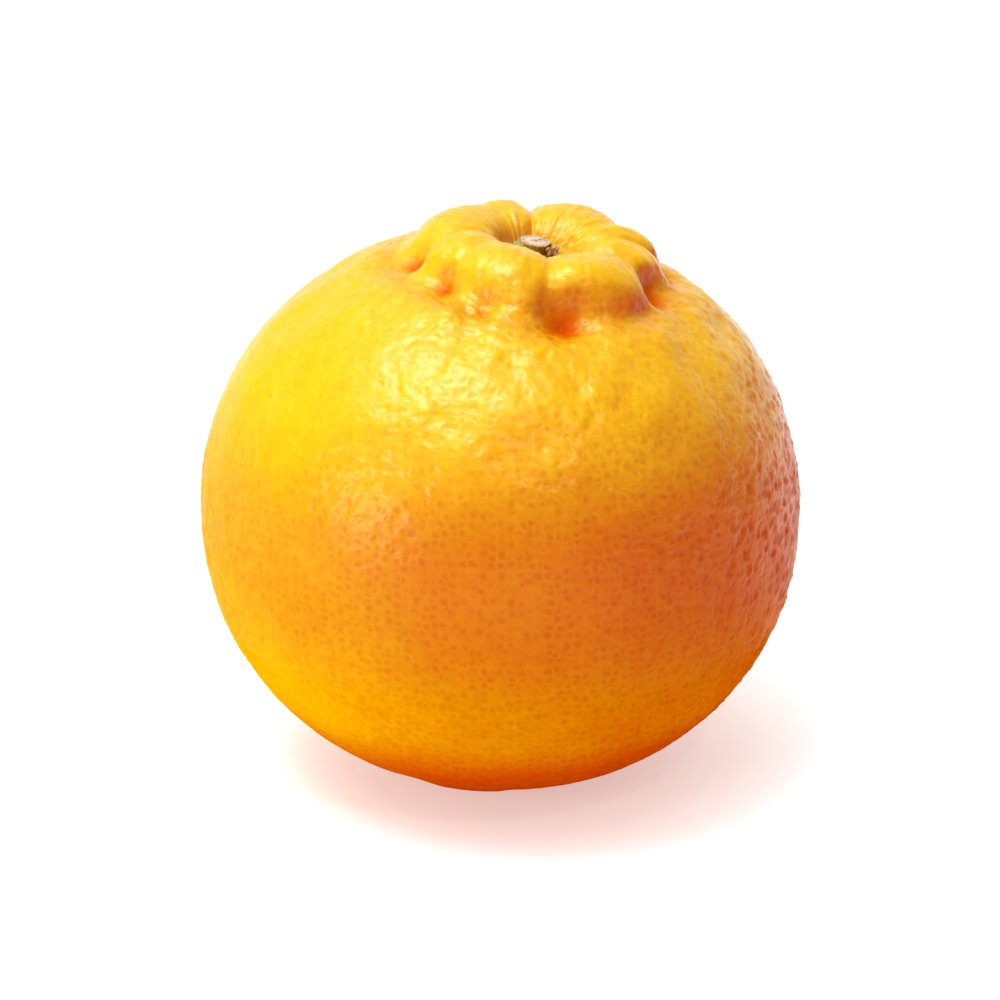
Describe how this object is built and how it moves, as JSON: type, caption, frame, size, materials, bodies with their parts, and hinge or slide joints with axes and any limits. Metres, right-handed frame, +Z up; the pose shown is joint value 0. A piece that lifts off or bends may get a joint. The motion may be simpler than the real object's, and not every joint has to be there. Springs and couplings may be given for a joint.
{
  "type": "bergamot orange",
  "caption": "Whole ripe citrus fruit, broad and round, with a knobbly crown of lobes round a cut stalk and its calyx, resting on a small flat spot.",
  "frame": {"origin": "middle of the fruit's box, at the surface that it rests on", "axes": "+Z up, +X to the picture's right, +Y away from the viewer; the crown leans about 9 degrees to the right and the front"},
  "size_m": [0.0796, 0.0798, 0.0763],
  "materials": {
    "rind": "waxy, semi-gloss citrus rind with oil glands",
    "calyx": "dry, matt, green-brown",
    "stem": "matt bark with a pale cut face"
  },
  "bodies": {
    "root": {"fruit": "rind", "calyx": "calyx", "stem": "stem"}
  },
  "joints": []
}
